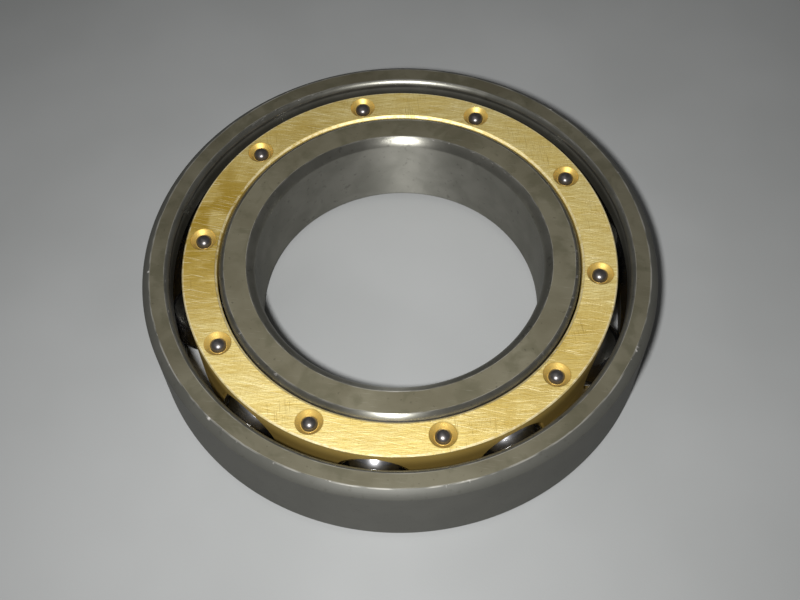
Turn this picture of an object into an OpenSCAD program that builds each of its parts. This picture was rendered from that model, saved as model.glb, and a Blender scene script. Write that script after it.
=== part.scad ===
// Open deep-groove ball bearing with a machined, riveted two-piece brass cage.
// The origin is the centre of the bearing: Z is the bore axis, and Z = 0 is the mid-plane.
// Ball 01 lies on +X, and the balls and rivets are numbered anticlockwise seen from +Z.

/* [Boundary] */
// Diameter of the bore, which the shaft fills
bore_d = 90; // [86:0.5:94]
// Outside diameter, which the housing holds
outside_d = 160; // [156:0.5:170]
// Width of both rings
ring_w = 30; // [28:0.5:36]
// Radius of the rounded corners at the bore and at the outside
corner_r = 2.5; // [1:0.1:3]

/* [Balls and raceways] */
// Diameter of one ball
ball_d = 22.225; // [20:0.005:24]
// Number of balls
ball_count = 10; // [7:1:12]
// Running clearance between a ball and each raceway
race_clearance = 0.03; // [0.01:0.005:0.08]
// Raceway radius of the outer ring, as a share of the ball's diameter
outer_conformity = 0.53; // [0.515:0.005:0.55]
// Raceway radius of the inner ring, as a share of the ball's diameter
inner_conformity = 0.52; // [0.51:0.005:0.54]
// Height of the outer ring's shoulders over the bottom of its raceway
outer_shoulder_h = 2.15; // [1.5:0.05:4]
// Height of the inner ring's shoulders over the bottom of its raceway
inner_shoulder_h = 4.85; // [3.5:0.05:5.5]
// Chamfer where the outer ring's shoulder meets its side face
outer_chamfer = 1.3; // [0.5:0.1:2]
// Chamfer where the inner ring's shoulder meets its side face
inner_chamfer = 1.5; // [0.5:0.1:2.5]

/* [Cage] */
// Radial gap between the cage and the inner ring's shoulder
cage_gap = 0.55; // [0.3:0.05:1]
// Radial thickness of the cage
cage_t = 10.8; // [9.5:0.1:11.5]
// Depth of each cage face under the ring's side face
cage_recess = 0.8; // [0.7:0.1:1.5]
// Clearance between a ball and its pocket
pocket_clearance = 0.25; // [0.1:0.05:0.5]
// Chamfer on the cage's inner edge
cage_inner_chamfer = 0.75; // [0.2:0.05:1]
// Chamfer on the cage's outer edge
cage_outer_chamfer = 0.35; // [0.2:0.05:1]

/* [Rivets] */
// Diameter of a rivet's shank
rivet_d = 4; // [3:0.1:4.4]
// Diameter of a rivet's domed head
rivet_head_d = 4.9; // [4.6:0.1:5.6]
// Height of a rivet's domed head
rivet_head_h = 2.4; // [1.8:0.1:2.4]
// Clearance around a rivet's shank in the cage
rivet_clearance = 0.05; // [0.02:0.01:0.1]
// Diameter of the countersink at the cage face
countersink_d = 8.2; // [7.6:0.1:9]
// Depth of the countersink, whose floor carries the rivet's head
countersink_depth = 1.8; // [1.8:0.1:2.6]
// Width of the flat floor that shows around a rivet's head
countersink_ledge = 0.1; // [0.05:0.05:0.3]

/* [Hidden] */
// Facets of a drawn circle or ball
$fn = 96;
// How far a cut runs past the surface that it opens
overrun = 1;

half_w = ring_w / 2;
bore_r = bore_d / 2;
outside_r = outside_d / 2;
pitch_r = (bore_r + outside_r) / 2;
ball_r = ball_d / 2;

outer_race_r = pitch_r + ball_r + race_clearance;
inner_race_r = pitch_r - ball_r - race_clearance;
outer_groove_r = outer_conformity * ball_d;
inner_groove_r = inner_conformity * ball_d;
outer_land_r = outer_race_r - outer_shoulder_h;
inner_land_r = inner_race_r + inner_shoulder_h;

cage_in_r = inner_land_r + cage_gap;
cage_out_r = cage_in_r + cage_t;
cage_half_w = half_w - cage_recess;
pocket_r = ball_r + pocket_clearance;

rivet_circle_r = (cage_in_r + cage_out_r) / 2;
rivet_seat_z = cage_half_w - countersink_depth;
rivet_head_r = rivet_head_d / 2;
rivet_dome_r = (rivet_head_r * rivet_head_r + rivet_head_h * rivet_head_h) / (2 * rivet_head_h);
countersink_floor_r = rivet_head_r + countersink_ledge;

pitch_angle = 360 / ball_count;

function numbered(name, i) = str(name, i < 10 ? "_0" : "_", i);

BALLS = [for (i = [1:ball_count]) numbered("ball", i)];
RIVETS = [for (i = [1:ball_count]) numbered("rivet", i)];

// Profiles lie in the X-Y plane before they are turned: X is the radius and Y is the height.

// The waste outside a rounded corner whose faces meet at the origin and run along -X and -Y
module corner_waste(r) {
  translate([-r, -r])
    difference() {
      square(r + overrun);
      circle(r);
    }
}

// The waste outside a 45 degree chamfer at the same kind of corner
module chamfer_waste(c) {
  polygon([[-c - overrun, overrun], [overrun, -c - overrun], [overrun, overrun]]);
}

// Puts a profile's detail at the top and at the bottom alike
module top_and_bottom() {
  children();
  mirror([0, 1]) children();
}

// The plain section of a ring between two radii, as wide as the bearing
module ring_section(in_r, out_r) {
  translate([in_r, -half_w]) square([out_r - in_r, ring_w]);
}

module outer_ring() {
  color("slategray")
    rotate_extrude()
      difference() {
        ring_section(outer_land_r, outside_r);
        top_and_bottom() {
          translate([outside_r, half_w]) corner_waste(corner_r);
          translate([outer_land_r, half_w]) mirror([1, 0]) chamfer_waste(outer_chamfer);
        }
        translate([outer_race_r - outer_groove_r, 0]) circle(outer_groove_r);
      }
}

module inner_ring() {
  color("slategray")
    rotate_extrude()
      difference() {
        ring_section(bore_r, inner_land_r);
        top_and_bottom() {
          translate([bore_r, half_w]) mirror([1, 0]) corner_waste(corner_r);
          translate([inner_land_r, half_w]) chamfer_waste(inner_chamfer);
        }
        translate([inner_race_r + inner_groove_r, 0]) circle(inner_groove_r);
      }
}

// Turns what lies on +X to ball i
module at_ball(i) {
  rotate((i - 1) * pitch_angle) children();
}

// Turns what lies on +X to rivet i, midway between ball i and the next
module at_rivet(i) {
  rotate((i - 0.5) * pitch_angle) children();
}

// The hole for one rivet and the countersink around its head, on the Z axis
module rivet_hole() {
  cone_h = countersink_depth + overrun;
  cone_flare = (countersink_d / 2 - countersink_floor_r) / countersink_depth;
  translate([0, 0, -overrun]) cylinder(h = rivet_seat_z + 2 * overrun, r = rivet_d / 2 + rivet_clearance);
  translate([0, 0, rivet_seat_z])
    cylinder(h = cone_h, r1 = countersink_floor_r, r2 = countersink_floor_r + cone_flare * cone_h);
}

// The radial bore that makes a ball's pocket
module pocket() {
  translate([pitch_r, 0, 0]) rotate([0, 90, 0]) cylinder(h = 2 * cage_t, r = pocket_r, center = true);
}

// The half of the cage above the mid-plane
module cage_half() {
  difference() {
    rotate_extrude()
      difference() {
        translate([cage_in_r, 0]) square([cage_t, cage_half_w]);
        translate([cage_in_r, cage_half_w]) mirror([1, 0]) chamfer_waste(cage_inner_chamfer);
        translate([cage_out_r, cage_half_w]) chamfer_waste(cage_outer_chamfer);
      }
    for (i = [1:ball_count]) {
      at_ball(i) pocket();
      at_rivet(i) translate([rivet_circle_r, 0, 0]) rivet_hole();
    }
  }
}

module cage_upper() {
  color("goldenrod") cage_half();
}

module cage_lower() {
  color("goldenrod") mirror([0, 0, 1]) cage_half();
}

module ball(i) {
  color("silver") at_ball(i) translate([pitch_r, 0, 0]) sphere(ball_r);
}

// One end of a rivet's section: half its shank and the domed head on its seat
module rivet_end() {
  square([rivet_d / 2, rivet_seat_z + overrun]);
  translate([0, rivet_seat_z])
    intersection() {
      square([rivet_head_r, rivet_head_h]);
      translate([0, rivet_head_h - rivet_dome_r]) circle(rivet_dome_r);
    }
}

module rivet(i) {
  color("dimgray")
    at_rivet(i)
      translate([rivet_circle_r, 0, 0])
        rotate_extrude() top_and_bottom() rivet_end();
}

outer_ring();
inner_ring();
cage_upper();
cage_lower();
for (i = [1:ball_count]) {
  ball(i);
  rivet(i);
}
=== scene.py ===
import math

import bpy
from mathutils import Matrix, Vector


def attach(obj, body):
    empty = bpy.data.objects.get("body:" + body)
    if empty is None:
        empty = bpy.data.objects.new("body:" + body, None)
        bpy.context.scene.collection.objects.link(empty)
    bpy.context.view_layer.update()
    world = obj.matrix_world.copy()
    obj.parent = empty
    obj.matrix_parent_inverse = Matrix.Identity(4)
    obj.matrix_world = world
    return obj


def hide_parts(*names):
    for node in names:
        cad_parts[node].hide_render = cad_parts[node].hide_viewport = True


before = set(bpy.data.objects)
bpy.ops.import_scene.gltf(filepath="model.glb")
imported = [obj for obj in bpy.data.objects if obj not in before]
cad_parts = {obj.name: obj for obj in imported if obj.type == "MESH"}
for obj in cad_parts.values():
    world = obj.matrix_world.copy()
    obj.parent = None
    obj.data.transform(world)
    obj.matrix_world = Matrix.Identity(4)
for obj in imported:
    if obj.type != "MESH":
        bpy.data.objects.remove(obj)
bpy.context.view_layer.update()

# Lengths are in millimetres, in the frame of the CAD: the origin is the centre of the bearing,
# Z is the bore axis and ball 01 lies on +X. MM turns them into Blender's metres.
MM = 0.001
HALF_WIDTH = 15.0

# ---------------------------------------------------------------- camera
# A camera with a short portrait lens, held by hand about 0.36 m away. It looks down on the
# bearing at 58 degrees, a little rolled.
LENS = 50.6
AIM = Vector((-1.47, -7.12, 0.0))
CAMERA_DISTANCE = 357.9
CAMERA_AZIMUTH = math.radians(-100.1)
CAMERA_ELEVATION = math.radians(58.22)
CAMERA_ROLL = math.radians(-1.7)

towards_camera = Vector((
    math.cos(CAMERA_ELEVATION) * math.cos(CAMERA_AZIMUTH),
    math.cos(CAMERA_ELEVATION) * math.sin(CAMERA_AZIMUTH),
    math.sin(CAMERA_ELEVATION),
))
bpy.ops.object.camera_add()
camera = bpy.context.object
camera.data.lens = LENS
camera.data.clip_start = 0.01
camera.matrix_world = (
    Matrix.Translation((AIM + CAMERA_DISTANCE * towards_camera) * MM)
    @ Matrix.Rotation(CAMERA_AZIMUTH + math.pi / 2, 4, "Z")
    @ Matrix.Rotation(math.pi / 2 - CAMERA_ELEVATION, 4, "X")
    @ Matrix.Rotation(CAMERA_ROLL, 4, "Z")
)
bpy.context.scene.camera = camera


# ---------------------------------------------------------------- shader tools and floor
# The bearing lies flat on a plain pale grey table of lightly textured laminate.
class Signal:
    """A node's output. Used in a Python expression, it adds the Math nodes of that expression."""

    def __init__(self, finish, socket):
        self.finish = finish
        self.socket = socket

    def __add__(self, other):
        return self.finish.math_on("ADD", self, other)

    def __sub__(self, other):
        return self.finish.math_on("SUBTRACT", self, other)

    def __rsub__(self, other):
        return self.finish.math_on("SUBTRACT", other, self)

    def __mul__(self, other):
        return self.finish.math_on("MULTIPLY", self, other)

    def __truediv__(self, other):
        return self.finish.math_on("DIVIDE", self, other)

    def __abs__(self):
        return self.finish.math_on("ABSOLUTE", self)

    def root(self):
        return self.finish.math_on("SQRT", self)

    def math_max(self, other):
        return self.finish.math_on("MAXIMUM", self, other)

    def rise(self, low, high):
        """0 below low, 1 above high, and a smooth step between them; it falls if low > high."""
        flip = low > high
        settings = {"interpolation_type": "SMOOTHSTEP"}
        inputs = {"Value": self, "From Min": min(low, high), "From Max": max(low, high)}
        inputs.update({"To Min": 1.0, "To Max": 0.0} if flip else {"To Min": 0.0, "To Max": 1.0})
        return self.finish.node("MapRange", settings, inputs)

    __radd__ = __add__
    __rmul__ = __mul__


class Finish:
    """A material. Its nodes are added one by one to a Principled shader."""

    def __init__(self, name, **constants):
        self.material = bpy.data.materials.new(name)
        self.material.use_nodes = True
        self.tree = self.material.node_tree
        self.shader = self.tree.nodes["Principled BSDF"]
        for socket, value in constants.items():
            self.shader.inputs[socket.replace("_", " ").title()].default_value = value
        place = self.node("TexCoord", {}, {}, "Object")
        self.place = self.node("VectorMath", {"operation": "SCALE"}, {0: place, "Scale": 1 / MM})
        self.x = self.node("SeparateXYZ", {}, {0: self.place}, "X")
        self.y = self.node("SeparateXYZ", {}, {0: self.place}, "Y")
        self.z = self.node("SeparateXYZ", {}, {0: self.place}, "Z")
        self.radius = (self.x * self.x + self.y * self.y).root()

    def node(self, kind, settings, inputs, output=0):
        """Adds a node, makes its settings, fills its sockets and returns one of its outputs."""
        node = self.tree.nodes.new("ShaderNode" + kind)
        for setting, value in settings.items():
            setattr(node, setting, value)
        for socket, value in inputs.items():
            self.plug(node.inputs[socket], value)
        return Signal(self, node.outputs[output])

    def math_on(self, operation, *values):
        return self.node("Math", {"operation": operation}, dict(enumerate(values)))

    def plug(self, socket, value):
        if isinstance(value, Signal):
            self.tree.links.new(value.socket, socket)
        else:
            socket.default_value = value

    def noise(self, scale, detail=2.0, place=None, seed=0.0, rough=0.5, warp=0.0):
        """Noise from 0 to 1, with scale in cells per millimetre."""
        inputs = {
            "Vector": place or self.place, "W": seed, "Scale": scale,
            "Detail": detail, "Roughness": rough, "Distortion": warp,
        }
        return self.node("TexNoise", {"noise_dimensions": "4D"}, inputs)

    def strokes(self, heading, along, across, seed, detail=2.0):
        """Noise drawn out into straight strokes that run at a heading, in degrees from +X."""
        turned = self.node(
            "VectorRotate", {"rotation_type": "Z_AXIS"},
            {"Vector": self.place, "Angle": math.radians(-heading)},
        )
        drawn = self.node(
            "VectorMath", {"operation": "MULTIPLY"}, {0: turned, 1: (1 / along, 1 / across, 0.05)},
        )
        return self.noise(1.0, detail, drawn, seed)

    def hairlines(self, heading, seed):
        """Sparse scratches, about 10 mm long and a tenth wide: the peaks of drawn-out noise."""
        return self.strokes(heading, 9.0, 0.16, seed, 0.0).rise(0.68, 0.78)

    def round_axis(self, along, across, seed, detail=2.0):
        """Noise drawn out along the circles round the Z axis."""
        drawn = self.node("CombineXYZ", {}, {
            0: self.x / self.radius * (60.0 / along),
            1: self.y / self.radius * (60.0 / along),
            2: (self.radius + 1.7 * self.z) / across,
        })
        return self.noise(1.0, detail, drawn, seed)

    def near_edge(self, edges, width):
        """1 on the circles in edges, as (radius, height), and 0 further off than width."""
        closest = 1000.0
        for radius, height in edges:
            off = self.radius - radius
            rise = abs(self.z) - height
            closest = self.math_on("MINIMUM", (off * off + rise * rise).root(), closest)
        return closest.rise(width, 0.4 * width)

    def blend(self, factor, first, second):
        """A colour between two others."""
        return self.node("Mix", {"data_type": "RGBA"}, {0: factor, 6: first, 7: second}, 2)

    def surface(self, color, roughness, height=None, depth=0.0):
        """Sends the varying signals to the shader; depth is the bump's depth in millimetres."""
        self.plug(self.shader.inputs["Base Color"], color)
        self.plug(self.shader.inputs["Roughness"], roughness)
        if height is not None:
            bump = self.node("Bump", {}, {"Strength": 1.0, "Distance": depth * MM, "Height": height})
            self.plug(self.shader.inputs["Normal"], bump)


def rgb(red, green, blue):
    return (red, green, blue, 1.0)


FLOOR_SIZE = 6.0

laminate = Finish("laminate")
cloud = laminate.noise(0.012, 3.0, seed=2.0)
grain = laminate.noise(1.6, 2.0, seed=5.0)
laminate.surface(
    laminate.blend(cloud.rise(0.3, 0.7), rgb(0.31, 0.316, 0.312), rgb(0.345, 0.351, 0.348)),
    0.42 + 0.1 * grain, grain, 0.02,
)
bpy.ops.object.select_all(action="DESELECT")
bpy.ops.mesh.primitive_plane_add(size=FLOOR_SIZE, location=(0, 0, -HALF_WIDTH * MM))
floor = bpy.context.object
floor.name = "floor"
floor.data.materials.append(laminate.material)

# ---------------------------------------------------------------- lights
# A small softbox beside the camera lights the faces, a wide one overhead fills the shadows,
# and a dim grey room shows in the polished steel.
KEY_SIZE = 24.0
KEY_DISTANCE = 370.0
KEY_POWER = 0.68
KEY_SPREAD = 110.0
KEY_OFFSET = Vector((-0.07, 0.0, 0.02))
FILL_SIZE = 900.0
FILL_PLACE = Vector((-250.0, 200.0, 1100.0))
FILL_POWER = 0.7
FILL_SPREAD = 180.0
ROOM = 0.07


def soft_light(name, place, size, power, spread):
    bpy.ops.object.light_add(type="AREA", location=place * MM)
    light = bpy.context.object
    light.name = name
    light.data.shape = "DISK"
    light.data.size = size * MM
    light.data.energy = power
    light.data.spread = math.radians(spread)
    light.matrix_world = (
        Matrix.Translation(place * MM) @ (AIM - place).to_track_quat("-Z", "Y").to_matrix().to_4x4()
    )


key_direction = (towards_camera + KEY_OFFSET).normalized()
soft_light("key", AIM + KEY_DISTANCE * key_direction, KEY_SIZE, KEY_POWER, KEY_SPREAD)
soft_light("fill", FILL_PLACE, FILL_SIZE, FILL_POWER, FILL_SPREAD)
world = bpy.data.worlds.new("room")
world.use_nodes = True
world.node_tree.nodes["Background"].inputs["Color"].default_value = rgb(ROOM, ROOM, ROOM)
bpy.context.scene.world = world
bpy.context.scene.view_settings.view_transform = "Standard"


# ---------------------------------------------------------------- outer ring
# One ring of hardened bearing steel, turned, then ground on its faces, its outside and its
# raceway. Handling has stained the faces and nicked the rounded outer corners.
def arc(centre_r, centre_z, radius, start, end, count):
    """Points on a circle in a section, from a start to an end angle in degrees."""
    angles = [math.radians(start + (end - start) * i / count) for i in range(count + 1)]
    return [(centre_r + radius * math.cos(a), centre_z + radius * math.sin(a)) for a in angles]


def mirrored(section):
    """The same points below the mid-plane, in the order that carries the section on."""
    return [(r, -z) for r, z in reversed(section)]


def turn(name, section, steps):
    """Draws a section point by point and spins it round the Z axis, as on a lathe.
    A section that starts on the axis is left open there; any other is closed."""
    bpy.ops.object.select_all(action="DESELECT")
    bpy.ops.mesh.primitive_plane_add(size=MM)
    piece = bpy.context.object
    piece.name = name
    bpy.ops.object.mode_set(mode="EDIT")
    bpy.ops.mesh.select_all(action="SELECT")
    bpy.ops.mesh.merge(type="CENTER")
    bpy.ops.transform.translate(value=(section[0][0] * MM, 0, section[0][1] * MM))
    last = section[-1:] if section[0][0] < 0.01 else section[:1]
    for here, there in zip(section, section[1:] + last):
        step = ((there[0] - here[0]) * MM, 0, (there[1] - here[1]) * MM)
        bpy.ops.mesh.extrude_region_move(TRANSFORM_OT_translate={"value": step})
    bpy.ops.mesh.select_all(action="SELECT")
    bpy.ops.mesh.spin(steps=steps, angle=math.tau, center=(0, 0, 0), axis=(0, 0, 1))
    bpy.ops.mesh.select_all(action="SELECT")
    bpy.ops.mesh.remove_doubles(threshold=1e-6)
    bpy.ops.mesh.normals_make_consistent(inside=False)
    bpy.ops.object.mode_set(mode="OBJECT")
    return piece


def apply_modifier(piece, kind, **settings):
    """Adds one modifier to a piece and applies it."""
    bpy.ops.object.select_all(action="DESELECT")
    bpy.context.view_layer.objects.active = piece
    piece.select_set(True)
    modifier = piece.modifiers.new(kind.lower(), kind)
    for setting, value in settings.items():
        setattr(modifier, setting, value)
    bpy.ops.object.modifier_apply(modifier=modifier.name)


def break_edges(piece, width):
    """Rounds a turned piece's sharp edges by a small width, as deburring does."""
    apply_modifier(
        piece, "BEVEL", width=width * MM, segments=2, limit_method="ANGLE",
        angle_limit=math.radians(12), use_clamp_overlap=False,
    )


def finish_piece(piece, finishes, body, node):
    """Shades a piece, gives its flat faces the first finish and the rest the last one, and puts
    it in place of its CAD node."""
    bpy.ops.object.select_all(action="DESELECT")
    bpy.context.view_layer.objects.active = piece
    piece.select_set(True)
    bpy.ops.object.shade_smooth_by_angle(angle=math.radians(30))
    apply_modifier(piece, "WEIGHTED_NORMAL", keep_sharp=True)
    piece.data.materials.clear()
    for finish in finishes:
        piece.data.materials.append(finish.material)
    for polygon in piece.data.polygons:
        polygon.material_index = 0 if abs(polygon.normal.z) > 0.995 else len(finishes) - 1
    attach(piece, body)
    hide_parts(node)


OUTSIDE_R = 80.0
BORE_R = 45.0
CORNER = 2.5
OUTER_LAND_R = 71.4925
OUTER_GROOVE_R = 11.779
OUTER_GROOVE_CENTRE = 61.863
OUTER_CHAMFER = 1.3
RING_STEPS = 256
CORNER_STEPS = 8
GROOVE_STEPS = 20
RING_EDGE_BREAK = 0.12


def turned_corner(face_r, wall_r, size, face_end, wall_end):
    """A corner from a side face to a wall, turned as an arc between two slopes in degrees.
    Grinding the face and the wall has cut its ends short, which leaves a slight edge at each."""
    outward = 1 if wall_r > face_r else -1
    radius = size / (math.cos(math.radians(wall_end)) - math.cos(math.radians(face_end)))
    drop = radius * (math.sin(math.radians(face_end)) - math.sin(math.radians(wall_end)))
    points = arc(0, 0, radius, face_end, wall_end, CORNER_STEPS)
    return [
        (face_r + outward * (r - points[0][0]), HALF_WIDTH - (points[0][1] - z) * size / drop)
        for r, z in points
    ]


def ring_face_finish(name, tone, edges, seed):
    """Ground side faces: satin, with olive stains, and rubbed bright at their edges."""
    steel = Finish(name, metallic=0.6)
    cloud = steel.noise(0.05, 4.0, seed=seed, warp=0.6)
    patch = steel.noise(0.15, 4.0, seed=seed + 3.0, warp=0.5)
    spots = steel.noise(0.8, 3.0, seed=seed + 5.0).rise(0.63, 0.74)
    grind = steel.round_axis(5.0, 0.25, seed + 7.0)
    rubs = steel.strokes(-20.0, 5.0, 0.3, seed + 9.0, 1.0).rise(0.62, 0.8)
    edge = steel.near_edge(edges, 0.38) * steel.round_axis(5.0, 1.0, seed + 2.0).rise(0.38, 0.6)

    color = steel.blend(cloud.rise(0.33, 0.66), rgb(0.150, 0.135, 0.088), rgb(0.196, 0.180, 0.124))
    color = steel.blend(0.6 * patch.rise(0.48, 0.64), color, rgb(0.118, 0.110, 0.068))
    color = steel.blend(0.5 * spots, color, rgb(0.06, 0.055, 0.036))
    color = steel.blend(0.25 * rubs, color, rgb(0.33, 0.31, 0.25))
    color = steel.node("VectorMath", {"operation": "SCALE"}, {0: color, "Scale": tone})
    color = steel.blend(0.5 * edge, color, rgb(0.50, 0.48, 0.43))
    roughness = 0.46 + 0.14 * cloud + 0.06 * grind - 0.12 * edge
    steel.surface(color, roughness, 0.5 * grind + 0.4 * patch - 0.4 * rubs, 0.02)
    return steel


def ring_wall_finish(name, grain, edges, groove_z, seed):
    """Walls, corners and chamfers: ground round the axis, so a highlight runs up and down them.
    The lands deeper in the gap are painted darker as painted shade, the outside wall is painted dark
    as a painted dark reflection, and the raceway, which lies within the half height groove_z, is
    lighter and glossier."""
    steel = Finish(name, anisotropic=grain, anisotropic_rotation=0.25)
    cloud = steel.noise(0.10, 4.0, seed=seed, warp=0.5)
    spots = steel.noise(0.6, 3.0, seed=seed + 5.0).rise(0.60, 0.72)
    grind = steel.round_axis(6.0, 0.22, seed + 7.0)
    edge = steel.near_edge(edges, 0.35) * steel.round_axis(6.0, 1.0, seed + 2.0).rise(0.40, 0.62)
    nicks = steel.near_edge(edges, 0.9) * steel.round_axis(1.8, 0.5, seed + 11.0).rise(0.62, 0.70)
    nicks = nicks * steel.noise(0.03, 1.0, seed=seed + 12.0).rise(0.45, 0.6)
    # The outside wall and its corner: their colour is painted dark as a painted dark reflection, and
    # the steel there is also rougher and less metallic.
    outer_wall_painted_dark = steel.radius.rise(OUTSIDE_R - 4.0, OUTSIDE_R - 3.0)
    within = steel.radius.rise(OUTSIDE_R - 3.0, OUTSIDE_R - 4.0)
    within = within * steel.radius.rise(BORE_R + 3.0, BORE_R + 4.0)
    # Painted shade: the walls inside the gap are painted darker towards the mid-plane, where shade
    # falls.
    gap_painted_shade = within * abs(steel.z).rise(HALF_WIDTH - 1.6, HALF_WIDTH - 5.0)
    raceway = within * abs(steel.z).rise(groove_z, groove_z - 0.1)
    corner = abs(steel.z).rise(HALF_WIDTH - CORNER - 0.3, HALF_WIDTH - CORNER + 0.3)
    corner = corner * (1 - outer_wall_painted_dark)

    color = steel.blend(cloud.rise(0.3, 0.7), rgb(0.165, 0.162, 0.138), rgb(0.215, 0.210, 0.182))
    # Painted dark reflection on the outside wall.
    color = steel.blend(0.75 * outer_wall_painted_dark, color, rgb(0.062, 0.062, 0.054))
    color = steel.blend(0.4 * spots, color, rgb(0.06, 0.058, 0.046))
    # Painted shade deeper in the gap.
    color = steel.blend(0.75 * gap_painted_shade, color, rgb(0.030, 0.028, 0.018))
    color = steel.blend(0.4 * edge, color, rgb(0.50, 0.48, 0.43))
    color = steel.blend(0.7 * nicks, color, rgb(0.78, 0.75, 0.71))
    color = steel.blend(raceway, color, rgb(0.26, 0.255, 0.24))
    roughness = 0.46 + 0.05 * cloud + 0.08 * outer_wall_painted_dark - 0.22 * raceway - 0.17 * corner - 0.08 * nicks
    steel.surface(color, roughness, (grind - 0.8 * nicks) * (1 - raceway), 0.015)
    steel.plug(steel.shader.inputs["Metallic"], 0.62 - 0.22 * outer_wall_painted_dark + 0.38 * raceway + 0.22 * corner)
    return steel


outer_top = turned_corner(OUTER_LAND_R + OUTER_CHAMFER, OUTER_LAND_R, OUTER_CHAMFER, 72, 18)[::-1]
outer_top += turned_corner(OUTSIDE_R - CORNER, OUTSIDE_R, CORNER, 52, 15)
groove_half = math.degrees(math.acos((OUTER_LAND_R - OUTER_GROOVE_CENTRE) / OUTER_GROOVE_R))
outer_groove = arc(OUTER_GROOVE_CENTRE, 0, OUTER_GROOVE_R, -groove_half, groove_half, GROOVE_STEPS)
outer_ring = turn("ring_outer", outer_top + mirrored(outer_top) + outer_groove, RING_STEPS)
break_edges(outer_ring, RING_EDGE_BREAK)
outer_edges = [outer_top[0], outer_top[CORNER_STEPS], outer_top[CORNER_STEPS + 1]]
finish_piece(outer_ring, [
    ring_face_finish("outer_ring_face", 0.86, outer_edges, 1.0),
    ring_wall_finish("outer_ring_wall", 0.5, outer_edges, outer_groove[-1][1], 14.0),
], "outer_ring", "outer_ring")

# ---------------------------------------------------------------- inner ring
# The smaller ring, of the same steel and made the same way, with the ground bore that grips
# the shaft and the raceway round its outside.
INNER_LAND_R = 56.2075
INNER_GROOVE_R = 11.557
INNER_GROOVE_CENTRE = 62.9145
INNER_CHAMFER = 1.5

inner_top = turned_corner(BORE_R + CORNER, BORE_R, CORNER, 62, 15)[::-1]
inner_top += turned_corner(INNER_LAND_R - INNER_CHAMFER, INNER_LAND_R, INNER_CHAMFER, 72, 18)
groove_half = math.degrees(math.acos((INNER_GROOVE_CENTRE - INNER_LAND_R) / INNER_GROOVE_R))
inner_groove = arc(
    INNER_GROOVE_CENTRE, 0, INNER_GROOVE_R, 180 - groove_half, 180 + groove_half, GROOVE_STEPS,
)
inner_ring = turn("ring_inner", inner_top + inner_groove + mirrored(inner_top), RING_STEPS)
break_edges(inner_ring, RING_EDGE_BREAK)
inner_edges = [inner_top[CORNER_STEPS], inner_top[CORNER_STEPS + 1], inner_top[-1]]
finish_piece(inner_ring, [
    ring_face_finish("inner_ring_face", 1.04, inner_edges, 31.0),
    ring_wall_finish("inner_ring_wall", 0.92, inner_edges, inner_groove[0][1], 44.0),
], "inner_ring", "inner_ring")

# ---------------------------------------------------------------- balls
# Ten lapped balls of through-hardened steel, which roll in the raceways between the rings.
# They are mirror bright, with faint running marks.
BALL_COUNT = 10
BALL_R = 11.1125
PITCH_R = 62.5
BALL_STEPS = 96


def round_the_bearing(piece, places):
    """Copies a piece that lies on +X to places counted in steps of the ball spacing."""
    copies = []
    for place in places:
        copy = piece.copy()
        copy.data = piece.data.copy()
        copy.data.transform(Matrix.Rotation(place * math.tau / BALL_COUNT, 4, "Z"))
        bpy.context.collection.objects.link(copy)
        copies.append(copy)
    bpy.data.objects.remove(piece)
    return copies


chrome = Finish("ball_steel", metallic=1.0)
haze = chrome.noise(0.25, 3.0, seed=4.0, warp=0.8)
marks = chrome.strokes(20, 14.0, 0.25, 7.0)
chrome.surface(
    chrome.blend(haze, rgb(0.60, 0.60, 0.62), rgb(0.72, 0.72, 0.74)),
    0.13 + 0.10 * haze, marks, 0.0006,
)
ball = turn("ball", arc(0, 0, BALL_R, -90, 90, BALL_STEPS // 2), BALL_STEPS)
ball.data.transform(Matrix.Translation((PITCH_R * MM, 0, 0)))
for i, piece in enumerate(round_the_bearing(ball, range(BALL_COUNT)), start=1):
    piece.name = f"lapped_ball_{i:02d}"
    finish_piece(piece, [chrome], f"ball_{i:02d}", f"ball_{i:02d}")

# ---------------------------------------------------------------- cage
# Two halves of solid brass that meet at the mid-plane, turned, bored radially for the balls
# and drilled for the rivets. Their faces have been dressed by hand with abrasive cloth.
CAGE_IN_R = 56.7575
CAGE_OUT_R = 67.5575
CAGE_HALF_W = 14.2
CAGE_INNER_CHAMFER = 0.75
CAGE_OUTER_CHAMFER = 0.35
PARTING_CHAMFER = 0.12
POCKET_R = 11.3625
RIVET_CIRCLE_R = 62.1575
RIVET_HOLE_R = 2.05
RIVET_SEAT_Z = 12.4
COUNTERSINK_FLOOR_R = 2.55
COUNTERSINK_R = 4.1
COUNTERSINK_LIP = 0.12
CAGE_STEPS = 240
POCKET_STEPS = 96
HOLE_STEPS = 64
OVERRUN = 1.0


# Strokes as (heading, seed, weight) and tarnish as (heading, width)
STROKES = [(-13.0, 1.0, 1.0), (-3.0, 2.0, 1.0), (-28.0, 3.0, 0.9), (66.0, 4.0, 0.4)]
TARNISH = [(135.0, 0.22), (165.0, 0.10), (303.0, 0.08)]


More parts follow.
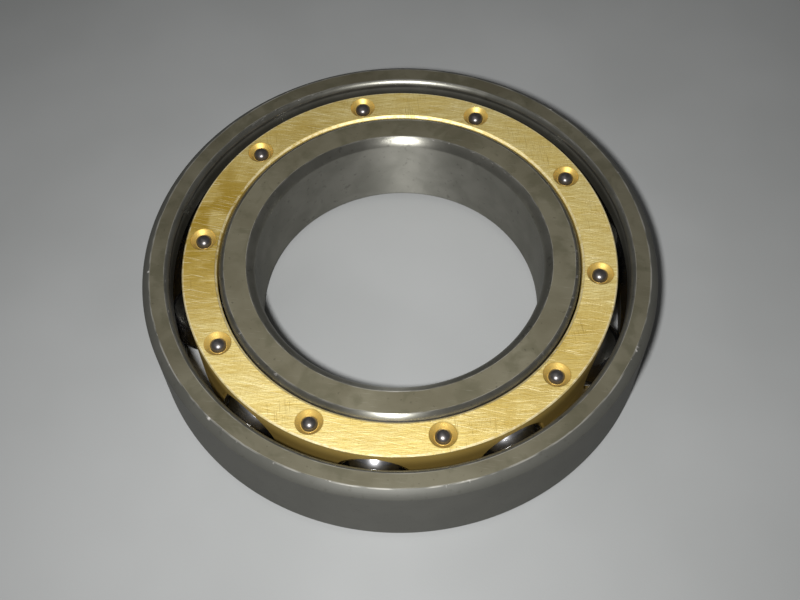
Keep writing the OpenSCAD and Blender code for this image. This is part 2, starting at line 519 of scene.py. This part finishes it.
def brass_finish():
    brass = Finish("cage_brass")
    face = abs(brass.z).rise(CAGE_HALF_W - 0.95, CAGE_HALF_W - 0.75)

    # Distance from the axis of the nearest rivet
    turn_angle = brass.math_on("ARCTAN2", brass.y, brass.x)
    spacing = math.tau / BALL_COUNT
    turn_angle = brass.math_on("WRAP", turn_angle - spacing / 2, spacing / 2, -spacing / 2)
    along = brass.radius * brass.math_on("COSINE", turn_angle) - RIVET_CIRCLE_R
    aside = brass.radius * brass.math_on("SINE", turn_angle)
    from_rivet = (along * along + aside * aside).root()
    dressed = face * from_rivet.rise(COUNTERSINK_R - 0.15, COUNTERSINK_R + 0.05)

    # Dressing: strokes at several headings, each strong in its own patches
    tone, total = 0.0, 0.0
    for heading, seed, weight in STROKES:
        fine = brass.strokes(heading - 4.0, 7.0, 0.22, seed, 3.0)
        broad = brass.strokes(heading + 4.0, 16.0, 0.6, seed + 0.5, 3.0)
        stroke = 0.6 * fine.rise(0.40, 0.60) + 0.4 * broad.rise(0.40, 0.60)
        share = weight * (0.10 + brass.noise(0.045, 1.0, seed=seed + 20.0).rise(0.44, 0.56))
        tone = stroke * share + tone
        total = share + total
    tone = tone / total
    cuts = brass.hairlines(-8.0, 5.0).math_max(brass.hairlines(-26.0, 6.0))
    scores = brass.hairlines(84.0, 7.0) * brass.noise(0.06, 1.0, seed=8.0).rise(0.50, 0.60)

    cloud = brass.noise(0.06, 3.0, seed=3.0, warp=0.5)
    stains = 0.0
    for heading, sharpness in TARNISH:
        towards = Vector((math.cos(math.radians(heading)), math.sin(math.radians(heading))))
        facing = (brass.x * towards.x + brass.y * towards.y) / brass.radius
        stains = facing.rise(1 - 2 * sharpness, 1 - 0.3 * sharpness) + stains
    tarnish = stains * (0.55 + 0.45 * brass.noise(0.12, 3.0, seed=11.0, warp=0.5).rise(0.40, 0.60))
    speck = brass.noise(2.8, 2.0, seed=9.0)
    gold = brass.blend(tone, rgb(0.56, 0.38, 0.065), rgb(1.0, 0.88, 0.43))
    gold = brass.blend(0.35 * cloud.rise(0.42, 0.66), gold, rgb(0.74, 0.54, 0.12))
    gold = brass.blend(0.5 * tarnish, gold, rgb(0.42, 0.275, 0.03))
    gold = brass.blend(0.4 * speck.rise(0.5, 0.7), gold, rgb(0.50, 0.33, 0.07))
    gold = brass.blend(0.5 * cuts, gold, rgb(1.0, 0.93, 0.62))
    gold = brass.blend(0.5 * scores, gold, rgb(0.36, 0.23, 0.04))
    clean = brass.blend(cloud, rgb(1.0, 0.74, 0.23), rgb(0.84, 0.56, 0.13))
    # Painted shade: the cage's outside wall is painted darker deeper down into the gap, where shade
    # falls.
    cage_wall_painted_shade = brass.radius.rise(CAGE_OUT_R - 2.0, CAGE_OUT_R - 0.4) * abs(brass.z).rise(13.0, 7.0)
    clean = brass.blend(0.65 * cage_wall_painted_shade, clean, rgb(0.22, 0.13, 0.02))
    color = brass.blend(dressed, clean, gold)
    rim = abs(from_rivet - COUNTERSINK_R).rise(0.30, 0.05) * face
    color = brass.blend(0.5 * rim * cloud.rise(0.3, 0.6), color, rgb(0.42, 0.28, 0.05))
    worn = [(CAGE_OUT_R - 0.2, CAGE_HALF_W - 0.1), (CAGE_IN_R + 0.35, CAGE_HALF_W - 0.35)]
    worn = brass.near_edge(worn, 0.5) * brass.round_axis(2.0, 2.0, 13.0).rise(0.30, 0.60)
    color = brass.blend(0.6 * worn, color, rgb(1.0, 0.90, 0.62))

    lathe = brass.noise(3.0, 2.0, brass.node("CombineXYZ", {}, {0: brass.radius, 2: brass.z}))
    height = (tone + 0.3 * speck - 0.4 * cuts - 0.6 * scores) * dressed + 0.15 * lathe * (1 - face)
    brass.surface(color, 0.42 + 0.12 * dressed + 0.06 * cloud, height, 0.05)
    brass.plug(brass.shader.inputs["Metallic"], 0.72 - 0.10 * dressed)
    return brass


def join(pieces, name):
    bpy.ops.object.select_all(action="DESELECT")
    for piece in pieces:
        piece.select_set(True)
    bpy.context.view_layer.objects.active = pieces[0]
    bpy.ops.object.join()
    pieces[0].name = name
    return pieces[0]


cage_section = [
    (CAGE_IN_R, PARTING_CHAMFER),
    (CAGE_IN_R + PARTING_CHAMFER, 0),
    (CAGE_OUT_R - PARTING_CHAMFER, 0),
    (CAGE_OUT_R, PARTING_CHAMFER),
    (CAGE_OUT_R, CAGE_HALF_W - CAGE_OUTER_CHAMFER),
    (CAGE_OUT_R - CAGE_OUTER_CHAMFER, CAGE_HALF_W),
    (CAGE_IN_R + CAGE_INNER_CHAMFER, CAGE_HALF_W),
    (CAGE_IN_R, CAGE_HALF_W - CAGE_INNER_CHAMFER),
]
cage_upper = turn("cage_half_upper", cage_section, CAGE_STEPS)

bpy.ops.object.select_all(action="DESELECT")
bpy.ops.mesh.primitive_cylinder_add(
    vertices=POCKET_STEPS, radius=POCKET_R * MM, depth=2 * (CAGE_OUT_R - CAGE_IN_R) * MM,
    location=(PITCH_R * MM, 0, 0), rotation=(0, math.pi / 2, 0),
)
bore = bpy.context.object
bpy.ops.object.transform_apply(location=True, rotation=True, scale=True)
bores = join(round_the_bearing(bore, range(BALL_COUNT)), "pocket_bores")

countersink_flare = (COUNTERSINK_R - COUNTERSINK_FLOOR_R) / (CAGE_HALF_W - RIVET_SEAT_Z)
lip_r = COUNTERSINK_R - countersink_flare * COUNTERSINK_LIP
drill = turn("drill", [
    (0, -OVERRUN),
    (RIVET_HOLE_R, -OVERRUN),
    (RIVET_HOLE_R, RIVET_SEAT_Z),
    (COUNTERSINK_FLOOR_R, RIVET_SEAT_Z),
    (lip_r, CAGE_HALF_W - COUNTERSINK_LIP),
    (lip_r + COUNTERSINK_LIP + OVERRUN, CAGE_HALF_W + OVERRUN),
    (0, CAGE_HALF_W + OVERRUN),
], HOLE_STEPS)
drill.data.transform(Matrix.Translation((RIVET_CIRCLE_R * MM, 0, 0)))
between_balls = [place + 0.5 for place in range(BALL_COUNT)]
drills = join(round_the_bearing(drill, between_balls), "rivet_drills")

for cutter in (bores, drills):
    apply_modifier(cage_upper, "BOOLEAN", object=cutter, operation="DIFFERENCE", solver="EXACT")
    bpy.data.objects.remove(cutter)

cage_lower = cage_upper.copy()
cage_lower.data = cage_upper.data.copy()
cage_lower.name = "cage_half_lower"
cage_lower.data.transform(Matrix.Scale(-1, 4, (0, 0, 1)))
cage_lower.data.flip_normals()
bpy.context.collection.objects.link(cage_lower)

cage_brass = brass_finish()
finish_piece(cage_upper, [cage_brass], "cage", "cage_upper")
finish_piece(cage_lower, [cage_brass], "cage", "cage_lower")

# ---------------------------------------------------------------- rivets
# Ten rivets of dark drawn steel, which clamp the halves between the balls. Their ends are
# set into smooth domes that stand in the countersinks.
RIVET_R = 2.0
HEAD_R = 2.45
HEAD_H = 2.4
HEAD_SIDE = 0.5
RIVET_STEPS = 48
DOME_STEPS = 14

rivet_steel = Finish("rivet_steel", metallic=0.85)
rivet_haze = rivet_steel.noise(0.8, 3.0, seed=6.0)
rivet_pits = rivet_steel.noise(3.5, 2.0, seed=9.0)
rivet_steel.surface(
    rivet_steel.blend(rivet_haze.rise(0.35, 0.65), rgb(0.12, 0.11, 0.105), rgb(0.17, 0.158, 0.152)),
    0.27 + 0.10 * rivet_haze, rivet_pits, 0.012,
)
dome = [
    (HEAD_R * r, RIVET_SEAT_Z + HEAD_SIDE + (HEAD_H - HEAD_SIDE) * z)
    for r, z in arc(0, 0, 1, 90, 0, DOME_STEPS)
]
rivet_half = dome + [(HEAD_R, RIVET_SEAT_Z), (RIVET_R, RIVET_SEAT_Z)]
rivet = turn("rivet", rivet_half + mirrored(rivet_half), RIVET_STEPS)
rivet.data.transform(Matrix.Translation((RIVET_CIRCLE_R * MM, 0, 0)))
for i, piece in enumerate(round_the_bearing(rivet, between_balls), start=1):
    piece.name = f"set_rivet_{i:02d}"
    finish_piece(piece, [rivet_steel], "cage", f"rivet_{i:02d}")
